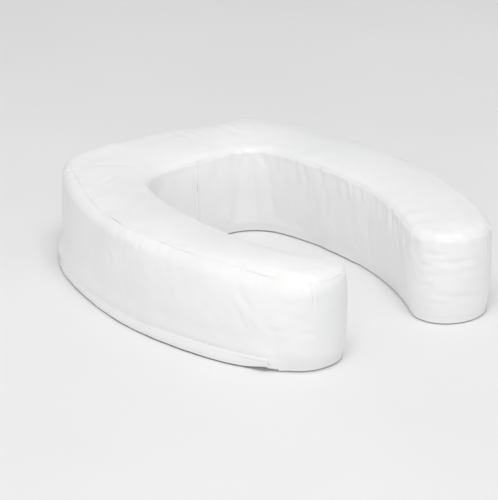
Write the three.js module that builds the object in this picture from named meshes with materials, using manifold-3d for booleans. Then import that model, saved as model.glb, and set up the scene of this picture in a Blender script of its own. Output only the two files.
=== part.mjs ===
// Padded raised toilet seat: a thick horseshoe cushion with a zipped cover that sits on a toilet seat.
// Millimetres, +Z up. The origin is the middle of the underside, and the open front faces -Y.
import * as THREE from 'three';
import { mergeVertices } from 'three/addons/utils/BufferGeometryUtils.js';
import Module from 'manifold-3d';

const wasm = await Module();
wasm.setup();

// ---- driving dimensions: plan of the horseshoe ----
const WIDTH = 380;
const LENGTH = 445;
const HEIGHT = 102;
const ARM_WIDTH = 86;
const BACK_DEPTH = 95;
const SIDE_RADIUS = 430;
const BACK_RADIUS = 500;
const BACK_CORNER_RADIUS = 70;
const WELL_CORNER_RADIUS = 50;
const WELL_BACK_RADIUS = 3000;
const TIP_OUTER_RADIUS = 48;
const TIP_INNER_RADIUS = 37;
const TIP_FACING = THREE.MathUtils.degToRad(-116);

// ---- driving dimensions: cover, foam and seams ----
const GAP = 0.3;
const SKIN = 1.2;
const TOP_ROLL = 8;
const PANEL_INSET = 9;
const BASE_ROLL = 4;
const BASE_RIM = 5;
const FOAM_INSET = 1.6;
const FOAM_ROLL = 6.4;
const COMFORT_BOTTOM = 70;

// ---- driving dimensions: zip ----
const ZIP_Z = 11.2;
const ZIP_INSET = 2.35;
const TAPE = 0.7;
const COIL = 2.2;
const COIL_HEIGHT = 1.5;
const COIL_GAP = 1;
const ZIP_BAND_EDGE = 15.3;
const UPPER_TAPE_TOP = 18.5;
const FLAP_START = 9.5;
const FLAP_PAST_END = 6;
const FLAP_BOTTOM = 1.2;
const FLAP_TOP = 18.4;
const FLAP_STANDOFF = 2.6;
const FLAP_THICKNESS = 1.3;
const SLIDER_AT = 26;
const SLIDER_LENGTH = 9;
const PULL_LENGTH = 22;

// ---- driving dimensions: straps ----
const STRAP_WIDTH = 38;
const STRAP_FOLD = 35;
const WEBBING = 1.1;
const PATCH = 0.7;
const PATCH_LENGTH = 24;
const CHANNEL_DEPTH = 3.9;
const STRAP_SEAM_INSET = 1.5;
const ROOT_Z = 2.6;

// ---- outline of the horseshoe as tangent arcs ----
const sideCentre = new THREE.Vector2(WIDTH / 2 - SIDE_RADIUS, 0);
const backCentre = new THREE.Vector2(0, LENGTH / 2 - BACK_RADIUS);
const wellRadius = SIDE_RADIUS - ARM_WIDTH;
const wellBackCentre = new THREE.Vector2(0, LENGTH / 2 - BACK_DEPTH - WELL_BACK_RADIUS);

const heading = (from, to) => Math.atan2(to.y - from.y, to.x - from.x);

// The right-hand point at distance r from centre on the line whose unit normal is n and offset is e.
function onCircleAndLine(centre, r, n, e) {
  const along = e - n.dot(centre);
  const across = Math.sqrt(r * r - along * along);
  const foot = centre.clone().addScaledVector(n, along);
  const a = foot.clone().add(new THREE.Vector2(-n.y, n.x).multiplyScalar(across));
  const b = foot.clone().add(new THREE.Vector2(n.y, -n.x).multiplyScalar(across));
  return a.x > b.x ? a : b;
}

// The right-hand point at distance ra from a and rb from b.
function onTwoCircles(a, ra, b, rb) {
  const n = b.clone().sub(a);
  const span = n.length();
  n.divideScalar(span);
  const along = (ra * ra - rb * rb + span * span) / (2 * span);
  return onCircleAndLine(a, ra, n, n.dot(a) + along);
}

function rightArcs() {
  const up = new THREE.Vector2(0, 1);
  const facing = new THREE.Vector2(Math.cos(TIP_FACING), Math.sin(TIP_FACING));
  const corner = onTwoCircles(backCentre, BACK_RADIUS - BACK_CORNER_RADIUS,
    sideCentre, SIDE_RADIUS - BACK_CORNER_RADIUS);
  const tipOuter = onCircleAndLine(sideCentre, SIDE_RADIUS - TIP_OUTER_RADIUS,
    up, TIP_OUTER_RADIUS - LENGTH / 2);
  const tipFace = facing.dot(tipOuter) + TIP_OUTER_RADIUS;
  const tipInner = onCircleAndLine(sideCentre, wellRadius + TIP_INNER_RADIUS,
    facing, tipFace - TIP_INNER_RADIUS);
  const wellCorner = onTwoCircles(wellBackCentre, WELL_BACK_RADIUS - WELL_CORNER_RADIUS,
    sideCentre, wellRadius - WELL_CORNER_RADIUS);
  const cornerTop = heading(backCentre, corner);
  const cornerSide = heading(sideCentre, corner);
  const tipSide = heading(sideCentre, tipOuter);
  const tipWell = heading(tipInner, sideCentre) - 2 * Math.PI;
  const wellFront = heading(sideCentre, tipInner);
  const wellSide = heading(sideCentre, wellCorner);
  const wellBack = heading(wellBackCentre, wellCorner);
  return [
    { centre: backCentre, r: BACK_RADIUS, from: Math.PI / 2, to: cornerTop, bulge: 1 },
    { centre: corner, r: BACK_CORNER_RADIUS, from: cornerTop, to: cornerSide, bulge: 1 },
    { centre: sideCentre, r: SIDE_RADIUS, from: cornerSide, to: tipSide, bulge: 1 },
    { centre: tipOuter, r: TIP_OUTER_RADIUS, from: tipSide, to: TIP_FACING, bulge: 1 },
    { centre: tipInner, r: TIP_INNER_RADIUS, from: TIP_FACING, to: tipWell, bulge: 1 },
    { centre: sideCentre, r: wellRadius, from: wellFront, to: wellSide, bulge: -1 },
    { centre: wellCorner, r: WELL_CORNER_RADIUS, from: wellSide, to: wellBack, bulge: -1 },
    { centre: wellBackCentre, r: WELL_BACK_RADIUS, from: wellBack, to: Math.PI / 2, bulge: -1 },
  ];
}

function mirrored(arc) {
  const centre = new THREE.Vector2(-arc.centre.x, arc.centre.y);
  return { ...arc, centre, from: Math.PI - arc.to, to: Math.PI - arc.from };
}

// The whole outline, clockwise from the middle of the well's back wall. A station is a place on it:
// the arc's number plus the fraction of that arc already passed.
const right = rightArcs();
const outline = [...right.map(mirrored).reverse(), ...right];
const LEFT_TIP_OUTER = 4;
const LEFT_SIDE = 5;
const RIGHT_SIDE = 10;
const RIGHT_TIP_OUTER = 11;
const WHOLE = outline.length;

const arcLength = (arc) => arc.r * Math.abs(arc.to - arc.from);

// Moves a station by some millimetres, measured on the outline. The arc it ends on is the one next
// to the station on that side, so a move stays shorter than that arc.
function moved(station, mm) {
  const number = mm < 0 ? Math.ceil(station) - 1 : Math.floor(station);
  return station + mm / arcLength(outline[number % WHOLE]);
}

// Points on the outline between two stations, pushed out of the cushion by offset.
function edgePoints(start, end, offset) {
  const points = [];
  for (let i = Math.floor(start); i < end; i += 1) {
    const arc = outline[i % WHOLE];
    const first = Math.max(start - i, 0);
    const last = Math.min(end - i, 1);
    const turn = (arc.to - arc.from) * (last - first);
    const stepAngle = arc.r > 100 ? 0.07 : 0.17;
    const steps = Math.max(1, Math.ceil(Math.abs(turn) / stepAngle));
    const r = arc.r + arc.bulge * offset;
    for (let k = 0; k <= steps; k += 1) {
      const angle = arc.from + (arc.to - arc.from) * first + (turn * k) / steps;
      const point = new THREE.Vector2(Math.cos(angle), Math.sin(angle)).multiplyScalar(r);
      point.add(arc.centre);
      if (!points.length || points.at(-1).distanceTo(point) > 0.01) points.push(point);
    }
  }
  return points;
}

// ---- helpers that make solids ----
function toSolid(geometry) {
  const bare = geometry.clone();
  bare.deleteAttribute('normal');
  bare.deleteAttribute('uv');
  const merged = mergeVertices(bare, 1e-4);
  const vertProperties = new Float32Array(merged.attributes.position.array);
  const triVerts = new Uint32Array(merged.index.array);
  return new wasm.Manifold(new wasm.Mesh({ numProp: 3, vertProperties, triVerts }));
}

function toGeometry(solid) {
  const mesh = solid.getMesh();
  const geometry = new THREE.BufferGeometry();
  geometry.setAttribute('position', new THREE.BufferAttribute(mesh.vertProperties, 3));
  geometry.setIndex(new THREE.BufferAttribute(mesh.triVerts, 1));
  return geometry;
}

// A closed bar that follows the outline between two stations. Its section is a list of
// [offset from the outline, height] corners, anticlockwise with offset to the right and height up.
function edgeBar(start, end, section) {
  const rows = section.map(([offset]) => edgePoints(start, end, offset));
  const stations = rows[0].length;
  const sides = section.length;
  const positions = [];
  for (let i = 0; i < stations; i += 1) {
    for (let j = 0; j < sides; j += 1) {
      positions.push(rows[j][i].x, rows[j][i].y, section[j][1]);
    }
  }
  const index = [];
  for (let i = 0; i + 1 < stations; i += 1) {
    for (let j = 0; j < sides; j += 1) {
      const a = i * sides + j;
      const b = i * sides + ((j + 1) % sides);
      index.push(a, b, a + sides, b, b + sides, a + sides);
    }
  }
  const corners = section.map(([x, y]) => new THREE.Vector2(x, y));
  const last = (stations - 1) * sides;
  for (const [a, b, c] of THREE.ShapeUtils.triangulateShape(corners, [])) {
    index.push(a, c, b, a + last, b + last, c + last);
  }
  const geometry = new THREE.BufferGeometry();
  geometry.setAttribute('position', new THREE.Float32BufferAttribute(positions, 3));
  geometry.setIndex(index);
  return geometry;
}

// A slab with the outline's plan from z0 to z1, its top and bottom edges rounded by roll.
function slab(offset, z0, z1, roll) {
  const shape = new THREE.Shape(edgePoints(0, WHOLE, offset));
  const options = { depth: z1 - z0 - 2 * roll, bevelEnabled: roll > 0, bevelSegments: 3 };
  Object.assign(options, { bevelSize: roll, bevelThickness: roll, bevelOffset: -roll });
  return new THREE.ExtrudeGeometry(shape, options).translate(0, 0, z0 + roll);
}

// A box given by its lowest and highest corners.
function block(x0, y0, z0, x1, y1, z1) {
  const box = new THREE.BoxGeometry(Math.abs(x1 - x0), y1 - y0, z1 - z0);
  return box.translate((x0 + x1) / 2, (y0 + y1) / 2, (z0 + z1) / 2);
}

const layer = (z0, z1) => toSolid(block(-WIDTH, -LENGTH, z0, WIDTH, LENGTH, z1));

// ---- materials ----
const finish = (color, roughness, metalness = 0) =>
  new THREE.MeshStandardMaterial({ color, roughness, metalness });
const vinyl = () => finish(0xeceded, 0.45);
const baseCloth = () => finish(0xd4d5d4, 0.8);
const foam = () => finish(0xe6dfc8, 0.95);
const zipPlastic = () => finish(0xe2e3e2, 0.4);
const zipTape = () => finish(0xdcdddc, 0.85);
const webbing = () => finish(0xdedfde, 0.8);
const hookAndLoop = () => finish(0xcfd0cf, 0.95);

const seat = new THREE.Group();
seat.name = 'raised_toilet_seat';

function add(name, geometry, material) {
  const mesh = new THREE.Mesh(geometry, material);
  mesh.name = name;
  seat.add(mesh);
  return mesh;
}

// ---- zip run along the bottom of the outer wall: left arm, back and right rear corner ----
const zipStart = LEFT_SIDE;
const zipEnd = RIGHT_SIDE;
const coilBottom = ZIP_Z - COIL_GAP / 2 - COIL_HEIGHT;
const coilTop = ZIP_Z + COIL_GAP / 2 + COIL_HEIGHT;
const lowerTapeBottom = BASE_RIM + 0.4;

// Corners of a rectangular section between two offsets and two heights.
const rectangle = (o0, o1, z0, z1) => [[o0, z0], [o1, z0], [o1, z1], [o0, z1]];

// ---- strap channels across the underside of both arms ----
const channelHalf = STRAP_WIDTH / 2 + 1.5;
function channels(grow, depth) {
  const inner = WIDTH / 2 - ARM_WIDTH - 12;
  const outer = WIDTH / 2 + 12;
  const half = channelHalf + grow;
  const rightOne = toSolid(block(inner, -half, -1, outer, half, depth));
  const leftOne = toSolid(block(-outer, -half, -1, -inner, half, depth));
  return rightOne.add(leftOne);
}

// ---- foam core in two layers ----
function foamBlock() {
  return toSolid(slab(-FOAM_INSET, FOAM_INSET, HEIGHT - FOAM_INSET, FOAM_ROLL));
}

function foamBase() {
  const groove = edgeBar(moved(zipStart, -8), moved(zipEnd, 8),
    rectangle(-6.4, 4, lowerTapeBottom - 0.2, UPPER_TAPE_TOP + 0.6));
  return toGeometry(foamBlock()
    .intersect(layer(-1, COMFORT_BOTTOM))
    .subtract(channels(SKIN + 0.5, BASE_RIM + GAP))
    .subtract(toSolid(groove)));
}

function foamComfortLayer() {
  return toGeometry(foamBlock().intersect(layer(COMFORT_BOTTOM + GAP, HEIGHT + 1)));
}

// ---- cover panels ----
function topPanel() {
  return slab(-PANEL_INSET - GAP, HEIGHT - SKIN, HEIGHT, 0);
}

function bottomPanel() {
  const outside = toSolid(slab(0, 0, HEIGHT, BASE_ROLL)).intersect(layer(-1, BASE_RIM));
  const inside = toSolid(slab(-SKIN, SKIN, HEIGHT, BASE_ROLL - SKIN));
  const lids = channels(SKIN, BASE_RIM - 0.01).intersect(outside);
  return toGeometry(outside.subtract(inside).add(lids).subtract(channels(0, CHANNEL_DEPTH)));
}

// A section of the wall skin from height z0 up over the rounded top edge to its lip.
function wallSection(z0) {
  const section = [[0, z0]];
  const steps = 4;
  for (let k = 0; k <= steps; k += 1) {
    const turn = (Math.PI / 2) * (k / steps);
    section.push([TOP_ROLL * (Math.cos(turn) - 1), HEIGHT + TOP_ROLL * (Math.sin(turn) - 1)]);
  }
  section.push([-PANEL_INSET, HEIGHT], [-PANEL_INSET, HEIGHT - SKIN]);
  const inner = TOP_ROLL - SKIN;
  for (let k = steps; k >= 0; k -= 1) {
    const turn = (Math.PI / 2) * (k / steps);
    const height = HEIGHT - TOP_ROLL + inner * Math.sin(turn);
    section.push([inner * Math.cos(turn) - TOP_ROLL, height]);
  }
  section.push([-SKIN, z0]);
  return section;
}

const bandBottom = BASE_RIM + GAP;
const leftTipSeam = LEFT_TIP_OUTER + 0.5;
const rightTipSeam = RIGHT_TIP_OUTER + 0.5;

function outerBand() {
  const start = moved(leftTipSeam, GAP / 2);
  const end = moved(rightTipSeam, -GAP / 2);
  const upper = toSolid(edgeBar(start, end, wallSection(ZIP_BAND_EDGE)));
  const hem = rectangle(-SKIN, 0, bandBottom, ZIP_BAND_EDGE + 2);
  const leftHem = toSolid(edgeBar(start, moved(zipStart, -0.5), hem));
  const rightHem = toSolid(edgeBar(moved(zipEnd, 0.5), end, hem));
  return toGeometry(upper.add(leftHem).add(rightHem));
}

function innerBand(from, to) {
  return edgeBar(moved(from, GAP / 2), moved(to, -GAP / 2), wallSection(bandBottom));
}

// ---- zip ----
// A strip sewn to the wall along its top edge, which hangs in front of the zip.
function zipFlap() {
  const face = FLAP_STANDOFF + FLAP_THICKNESS;
  const hemBottom = FLAP_TOP - 2.2;
  return edgeBar(moved(zipStart, FLAP_START), moved(zipEnd, FLAP_PAST_END), [
    [GAP, hemBottom], [FLAP_STANDOFF - 1.4, hemBottom], [FLAP_STANDOFF, hemBottom - 1.4],
    [FLAP_STANDOFF, FLAP_BOTTOM], [face, FLAP_BOTTOM], [face, FLAP_TOP - 3.2],
    [face - 2.3, FLAP_TOP], [GAP, FLAP_TOP],
  ]);
}

function zipStrip(halfThickness, z0, z1, trim) {
  return edgeBar(moved(zipStart, trim), moved(zipEnd, -trim),
    rectangle(-ZIP_INSET - halfThickness, -ZIP_INSET + halfThickness, z0, z1));
}

function zipStop(from, to) {
  return edgeBar(from, to, rectangle(-ZIP_INSET - 1.3, -ZIP_INSET + 1.3, coilBottom, coilTop));
}

// The slider's section round the coils: two plates with lips, joined by a web between the coils.
function zipSlider() {
  const start = moved(LEFT_SIDE, SLIDER_AT);
  const end = moved(LEFT_SIDE, SLIDER_AT + SLIDER_LENGTH);
  const low = coilBottom - 1.8;
  const high = coilTop + 1.8;
  const pieces = [
    rectangle(-0.9, 0.1, low, high),
    rectangle(-4.7, -3.7, low, high),
    rectangle(-4, -0.5, ZIP_Z - 0.3, ZIP_Z + 0.3),
    rectangle(-1.6, -0.5, low, low + 0.8),
    rectangle(-1.6, -0.5, high - 0.8, high),
    rectangle(-4, -3.1, low, low + 0.8),
    rectangle(-4, -3.1, high - 0.8, high),
  ].map((section) => toSolid(edgeBar(start, end, section)));
  const lugStart = moved(LEFT_SIDE, SLIDER_AT + 1);
  const lugEnd = moved(LEFT_SIDE, SLIDER_AT + 3);
  const lugs = [ZIP_Z - 3.2, ZIP_Z + 2.4].map(
    (z) => toSolid(edgeBar(lugStart, lugEnd, rectangle(-0.2, 1.6, z, z + 0.8))),
  );
  return toGeometry([...pieces, ...lugs].reduce((whole, piece) => whole.add(piece)));
}

function zipPull() {
  const start = moved(LEFT_SIDE, SLIDER_AT + 1.5);
  const end = moved(LEFT_SIDE, SLIDER_AT + 1.5 + PULL_LENGTH);
  const holeStart = moved(LEFT_SIDE, SLIDER_AT + PULL_LENGTH - 5);
  const holeEnd = moved(LEFT_SIDE, SLIDER_AT + PULL_LENGTH - 1);
  const tab = toSolid(edgeBar(start, end, rectangle(0.5, 1.5, ZIP_Z - 2.1, ZIP_Z + 2.1)));
  const hole = toSolid(edgeBar(holeStart, holeEnd, rectangle(0, 2, ZIP_Z - 1, ZIP_Z + 1)));
  return toGeometry(tab.subtract(hole));
}

// ---- straps: each half is folded in two inside its channel ----
// side is 1 on the right arm and -1 on the left. inward is -1 for the half sewn to the outer wall,
// which folds towards the well, and 1 for the half sewn to the inner wall.
function addStrapHalf(armName, side, halfName, seamX, inward) {
  const hooks = halfName === 'outer';
  const half = STRAP_WIDTH / 2;
  const foldX = seamX + inward * STRAP_FOLD;
  const tipTop = hooks ? 2.3 : 1.5;
  const patchTop = hooks ? 1.1 : 2.3;
  const bar = (x0, x1, top, thick, halfWidth) => {
    const [a, b] = [side * x0, side * x1].sort((p, q) => p - q);
    return block(a, -halfWidth, top - thick, b, halfWidth, top);
  };
  const name = `strap_${armName}_${halfName}`;
  add(`${name}_root`, bar(seamX, foldX, ROOT_Z + WEBBING, WEBBING, half), webbing());
  add(`${name}_tip`, bar(seamX + inward, foldX, tipTop, WEBBING, half), webbing());
  const patchX = seamX + inward * 3;
  const patchEnd = patchX + inward * PATCH_LENGTH;
  const patchName = hooks ? 'hook_patch' : 'loop_patch';
  add(`${name}_${patchName}`, bar(patchX, patchEnd, patchTop, PATCH, half - 2), hookAndLoop());
}

// ---- assembly ----
add('foam_base', foamBase(), foam());
add('foam_comfort_layer', foamComfortLayer(), foam());
add('cover_top_panel', topPanel(), vinyl());
add('cover_bottom_panel', bottomPanel(), baseCloth());
add('cover_outer_band', outerBand(), vinyl());
add('cover_inner_band_left', innerBand(0, leftTipSeam), vinyl());
add('cover_inner_band_right', innerBand(rightTipSeam, WHOLE), vinyl());
add('zip_flap', zipFlap(), vinyl());
add('zip_tape_lower', zipStrip(TAPE / 2, lowerTapeBottom, coilBottom - 0.2, 0), zipTape());
add('zip_tape_upper', zipStrip(TAPE / 2, coilTop + 0.2, UPPER_TAPE_TOP, 0), zipTape());
add('zip_coil_lower', zipStrip(COIL / 2, coilBottom, coilBottom + COIL_HEIGHT, 3.5), zipPlastic());
add('zip_coil_upper', zipStrip(COIL / 2, coilTop - COIL_HEIGHT, coilTop, 3.5), zipPlastic());
add('zip_front_stop', zipStop(moved(zipStart, 0.5), moved(zipStart, 3.2)), zipPlastic());
add('zip_rear_stop', zipStop(moved(zipEnd, -3.2), moved(zipEnd, -0.5)), zipPlastic());
add('zip_slider', zipSlider(), zipPlastic());
add('zip_pull', zipPull(), zipPlastic());

const outerSeamX = WIDTH / 2 - STRAP_SEAM_INSET;
const innerSeamX = WIDTH / 2 - ARM_WIDTH + STRAP_SEAM_INSET;
for (const [armName, side] of [['left', -1], ['right', 1]]) {
  addStrapHalf(armName, side, 'outer', outerSeamX, -1);
  addStrapHalf(armName, side, 'inner', innerSeamX, 1);
}

export default seat;
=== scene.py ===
import math

import bmesh
import bpy
import numpy as np
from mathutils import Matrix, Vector, noise
from mathutils.bvhtree import BVHTree
from mathutils.geometry import delaunay_2d_cdt
from mathutils.interpolate import poly_3d_calc


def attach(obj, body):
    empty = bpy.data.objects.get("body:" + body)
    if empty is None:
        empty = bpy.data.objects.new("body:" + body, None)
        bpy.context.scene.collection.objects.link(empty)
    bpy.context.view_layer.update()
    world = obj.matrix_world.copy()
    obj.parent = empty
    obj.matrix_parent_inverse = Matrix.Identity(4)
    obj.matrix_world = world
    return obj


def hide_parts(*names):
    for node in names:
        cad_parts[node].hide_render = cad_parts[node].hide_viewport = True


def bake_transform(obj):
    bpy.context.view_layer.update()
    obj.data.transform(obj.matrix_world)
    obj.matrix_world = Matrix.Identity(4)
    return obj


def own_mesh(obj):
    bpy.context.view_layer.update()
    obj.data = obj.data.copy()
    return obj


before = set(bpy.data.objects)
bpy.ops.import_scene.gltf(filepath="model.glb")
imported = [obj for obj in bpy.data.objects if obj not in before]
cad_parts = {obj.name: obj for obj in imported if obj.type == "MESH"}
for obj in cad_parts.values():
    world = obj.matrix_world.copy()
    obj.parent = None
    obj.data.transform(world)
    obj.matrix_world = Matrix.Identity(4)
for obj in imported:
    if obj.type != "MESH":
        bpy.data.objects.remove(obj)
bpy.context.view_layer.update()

MM = 0.001
scene = bpy.context.scene

# ---- camera ----
CAMERA_AZIMUTH = math.radians(-38.03)
CAMERA_ELEVATION = math.radians(22.51)
CAMERA_DISTANCE = 3.0885
CAMERA_TARGET = Vector((-0.02455, 0.00158, 0.040))
SENSOR_WIDTH = 36.0
LENS = 206.1
camera_data = bpy.data.cameras.new("camera")
camera = bpy.data.objects.new("camera", camera_data)
scene.collection.objects.link(camera)
camera_data.sensor_fit = "HORIZONTAL"
camera_data.sensor_width = SENSOR_WIDTH
camera_data.lens = LENS
toward = Vector(
    (
        math.sin(CAMERA_AZIMUTH) * math.cos(CAMERA_ELEVATION),
        -math.cos(CAMERA_AZIMUTH) * math.cos(CAMERA_ELEVATION),
        math.sin(CAMERA_ELEVATION),
    )
)
camera.location = CAMERA_TARGET + toward * CAMERA_DISTANCE
camera.rotation_euler = (-toward).to_track_quat("-Z", "Y").to_euler()
scene.camera = camera

# ---- plan of the horseshoe, the same driving dimensions as the frame ----
WIDTH = 380.0
LENGTH = 445.0
HEIGHT = 102.0
ARM_WIDTH = 86.0
BACK_DEPTH = 95.0
SIDE_RADIUS = 430.0
BACK_RADIUS = 500.0
BACK_CORNER_RADIUS = 70.0
WELL_CORNER_RADIUS = 50.0
WELL_BACK_RADIUS = 3000.0
TIP_OUTER_RADIUS = 48.0
TIP_INNER_RADIUS = 37.0
TIP_FACING = math.radians(-116.0)
SEAM_Z = 5.0
LEFT_TIP_OUTER, LEFT_SIDE, RIGHT_SIDE, RIGHT_TIP_OUTER = 4, 5, 10, 11


def heading(a, b):
    """The direction from one point to another, as an angle."""
    return math.atan2(b[1] - a[1], b[0] - a[0])


def on_circle_and_line(centre, r, normal, level):
    """The right-hand point where a circle meets the line whose distance along normal is level."""
    centre, normal = np.array(centre, float), np.array(normal, float)
    along = level - normal @ centre
    side = np.array([-normal[1], normal[0]]) * math.sqrt(r * r - along * along)
    foot = centre + normal * along
    return max((foot + side, foot - side), key=lambda q: q[0])


def on_two_circles(a, ra, b, rb):
    """The right-hand point where two circles meet."""
    n = b - a
    span = math.hypot(*n)
    n = n / span
    return on_circle_and_line(a, ra, n, n @ a + (ra * ra - rb * rb + span * span) / (2 * span))


def right_arcs():
    """The right half's arcs, from the middle of the back round the arm and into the well."""
    side = np.array([WIDTH / 2 - SIDE_RADIUS, 0.0])
    back = np.array([0.0, LENGTH / 2 - BACK_RADIUS])
    well = SIDE_RADIUS - ARM_WIDTH
    well_back = np.array([0.0, LENGTH / 2 - BACK_DEPTH - WELL_BACK_RADIUS])
    corner = on_two_circles(
        back, BACK_RADIUS - BACK_CORNER_RADIUS, side, SIDE_RADIUS - BACK_CORNER_RADIUS
    )
    facing = np.array([math.cos(TIP_FACING), math.sin(TIP_FACING)])
    tip_outer = on_circle_and_line(
        side, SIDE_RADIUS - TIP_OUTER_RADIUS, (0, 1), TIP_OUTER_RADIUS - LENGTH / 2
    )
    face = facing @ tip_outer + TIP_OUTER_RADIUS
    tip_inner = on_circle_and_line(side, well + TIP_INNER_RADIUS, facing, face - TIP_INNER_RADIUS)
    well_corner = on_two_circles(
        well_back, WELL_BACK_RADIUS - WELL_CORNER_RADIUS, side, well - WELL_CORNER_RADIUS
    )
    top, out = heading(back, corner), heading(side, corner)
    front = heading(side, tip_outer)
    well_front, well_side = heading(side, tip_inner), heading(side, well_corner)
    well_top = heading(well_back, well_corner)
    return [
        (back, BACK_RADIUS, math.pi / 2, top, 1),
        (corner, BACK_CORNER_RADIUS, top, out, 1),
        (side, SIDE_RADIUS, out, front, 1),
        (tip_outer, TIP_OUTER_RADIUS, front, TIP_FACING, 1),
        (tip_inner, TIP_INNER_RADIUS, TIP_FACING, heading(tip_inner, side) - 2 * math.pi, 1),
        (side, well, well_front, well_side, -1),
        (well_corner, WELL_CORNER_RADIUS, well_side, well_top, -1),
        (well_back, WELL_BACK_RADIUS, well_top, math.pi / 2, -1),
    ]


def mirrored(arc):
    centre, r, a, b, bulge = arc
    return (np.array([-centre[0], centre[1]]), r, math.pi - b, math.pi - a, bulge)


RIGHT = right_arcs()
ARCS = [mirrored(arc) for arc in reversed(RIGHT)] + RIGHT


def on_arc(arc, t):
    """Points at shares of an arc, and the outline's normals there."""
    centre, r, a, b, bulge = arc
    angle = a + (b - a) * np.asarray(t, float)
    away = np.stack([np.cos(angle), np.sin(angle)], -1)
    return centre + r * away, bulge * away


# The outline as spans of length: arcs, and the short straight bits at the arm ends.
SHORTEST_STRAIGHT = 0.05
SPANS = []
STARTS = []
TOTAL = 0.0
for number, arc in enumerate(ARCS):
    span = arc[1] * abs(arc[3] - arc[2])
    STARTS.append(TOTAL)
    SPANS.append((TOTAL, TOTAL + span, arc, None))
    TOTAL += span
    end, end_normal = on_arc(arc, 1.0)
    start, _ = on_arc(ARCS[(number + 1) % len(ARCS)], 0.0)
    gap = math.hypot(*(start - end))
    if gap > SHORTEST_STRAIGHT:
        SPANS.append((TOTAL, TOTAL + gap, None, (end, start, end_normal)))
        TOTAL += gap


def outline(lengths):
    """Points on the outline and their normals, pointing out of the cushion."""
    lengths = np.mod(np.asarray(lengths, float), TOTAL)
    points, normals = np.zeros((len(lengths), 2)), np.zeros((len(lengths), 2))
    for low, high, arc, line in SPANS:
        here = (lengths >= low - 1e-9) & (lengths <= high + 1e-9)
        t = (lengths[here] - low) / (high - low)
        if line is None:
            points[here], normals[here] = on_arc(arc, t)
        else:
            points[here] = line[0] + (line[1] - line[0]) * t[:, None]
            normals[here] = line[2]
    return points, normals


def length_at(station):
    """Length along the outline of a station: an arc's number plus the share of it passed."""
    number = int(station)
    arc = ARCS[number]
    return STARTS[number] + (station - number) * arc[1] * abs(arc[3] - arc[2])


LEFT_TIP_SEAM = length_at(LEFT_TIP_OUTER + 0.5)
RIGHT_TIP_SEAM = length_at(RIGHT_TIP_OUTER + 0.5)
ZIP_START = length_at(LEFT_SIDE)
ZIP_END = length_at(RIGHT_SIDE)
FINE = np.linspace(0, TOTAL, 2400, endpoint=False)
FINE_POINTS, FINE_NORMALS = outline(FINE)
BLOCK = 2000


def nearest_outline(xy):
    """How far points in plan lie inside the outline, and the outline length beside them."""
    depth, where = np.empty(len(xy)), np.empty(len(xy), int)
    for i in range(0, len(xy), BLOCK):
        block = xy[i : i + BLOCK, None, :]
        gap = np.hypot(block[..., 0] - FINE_POINTS[:, 0], block[..., 1] - FINE_POINTS[:, 1])
        where[i : i + BLOCK] = gap.argmin(1)
        depth[i : i + BLOCK] = gap.min(1)
    inward = -((xy - FINE_POINTS[where]) * FINE_NORMALS[where]).sum(1)
    return np.where(inward > 0, depth, -depth), FINE[where]


# ---- section of the cushion: distance s runs up the wall from the bottom seam, over the edge ----
def bump(x, width):
    """A round hump, 1 at zero."""
    return np.exp(-((x / width) ** 2))


def smooth(x, low, high):
    """An eased step from 0 to 1 between two places."""
    t = np.clip((x - low) / (high - low), 0, 1)
    return t * t * (3 - 2 * t)


def plateau(x, start, full, fading, end):
    """Rises from 0 to 1 between the first two places and falls back between the last two."""
    return smooth(x, start, full) * (1 - smooth(x, fading, end))


def around(lengths, centre):
    """Signed distance along the closed outline."""
    return np.mod(lengths - centre + TOTAL / 2, TOTAL) - TOTAL / 2


SOFTEN_STEPS = 70


def round_outline(pairs, soften):
    """A smooth value round the closed outline, from pairs of a length and a value."""
    places, values = np.array(sorted(pairs), float).T
    plain = np.interp(FINE, places, values, period=TOTAL)
    steps = np.arange(-SOFTEN_STEPS, SOFTEN_STEPS + 1)
    weights = bump(steps * TOTAL / len(FINE), soften)
    soft = sum(w * np.roll(plain, k) for w, k in zip(weights / weights.sum(), steps))
    return lambda lengths: np.interp(np.mod(lengths, TOTAL), FINE, soft, period=TOTAL)


# Radius of the rounded top edge.
edge_radius = round_outline(
    [(0, 9), (110, 9), (250, 10), (360, 8), (385, 5), (415, 4), (445, 15), (475, 20), (510, 20)]
    + [(570, 17), (640, 14), (760, 9), (890, 8), (950, 8), (1230, 10), (1600, 10), (1640, 11)]
    + [(1740, 11), (1790, 9), (2100, 9)],
    10.0,
)
# How far the upper walls stand outside the plain plan.
plan_shift = round_outline(
    [(0, -3), (55, -1), (110, 3), (200, 1), (252, 0), (321, -6), (363, -5), (392, 1.5), (411, 2)]
    + [(440, 1), (480, 0), (550, 1.5), (600, 2.5), (680, 1.5), (764, 1), (833, -2), (870, -4.5)]
    + [(900, -6.5), (918, -3.5), (932, 1), (950, 6), (1005, 5.5), (1035, 2), (1090, 2)]
    + [(1120, -2), (1155, -3), (1200, 3), (1270, 3.2), (1310, 1), (1350, -1.4), (1390, -1.6)]
    + [(1450, 0), (1600, 1.5), (1630, 1)]
    + [(1665, -1), (1700, 0), (1735, 3), (1770, 4), (1815, 3.5), (1866, 1), (1910, 2), (1960, 2)]
    + [(2010, 1), (2050, -3), (2100, -3)],
    10.0,
)
# How far the wall has leaned by the time it reaches the top.
wall_lean = round_outline(
    [(0, 0), (400, 0), (450, -3), (500, -7), (560, -11), (620, -10), (680, -4), (730, -1)]
    + [(780, 0)],
    14.0,
)
# How much the stuffing lifts the top edge.
edge_lift = round_outline(
    [(0, 0), (860, 0), (900, 1.5), (925, 3.5), (950, 4), (1000, 3.5), (1040, 2.5)]
    + [(1130, 1.0), (1200, 0)],
    12.0,
)
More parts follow.
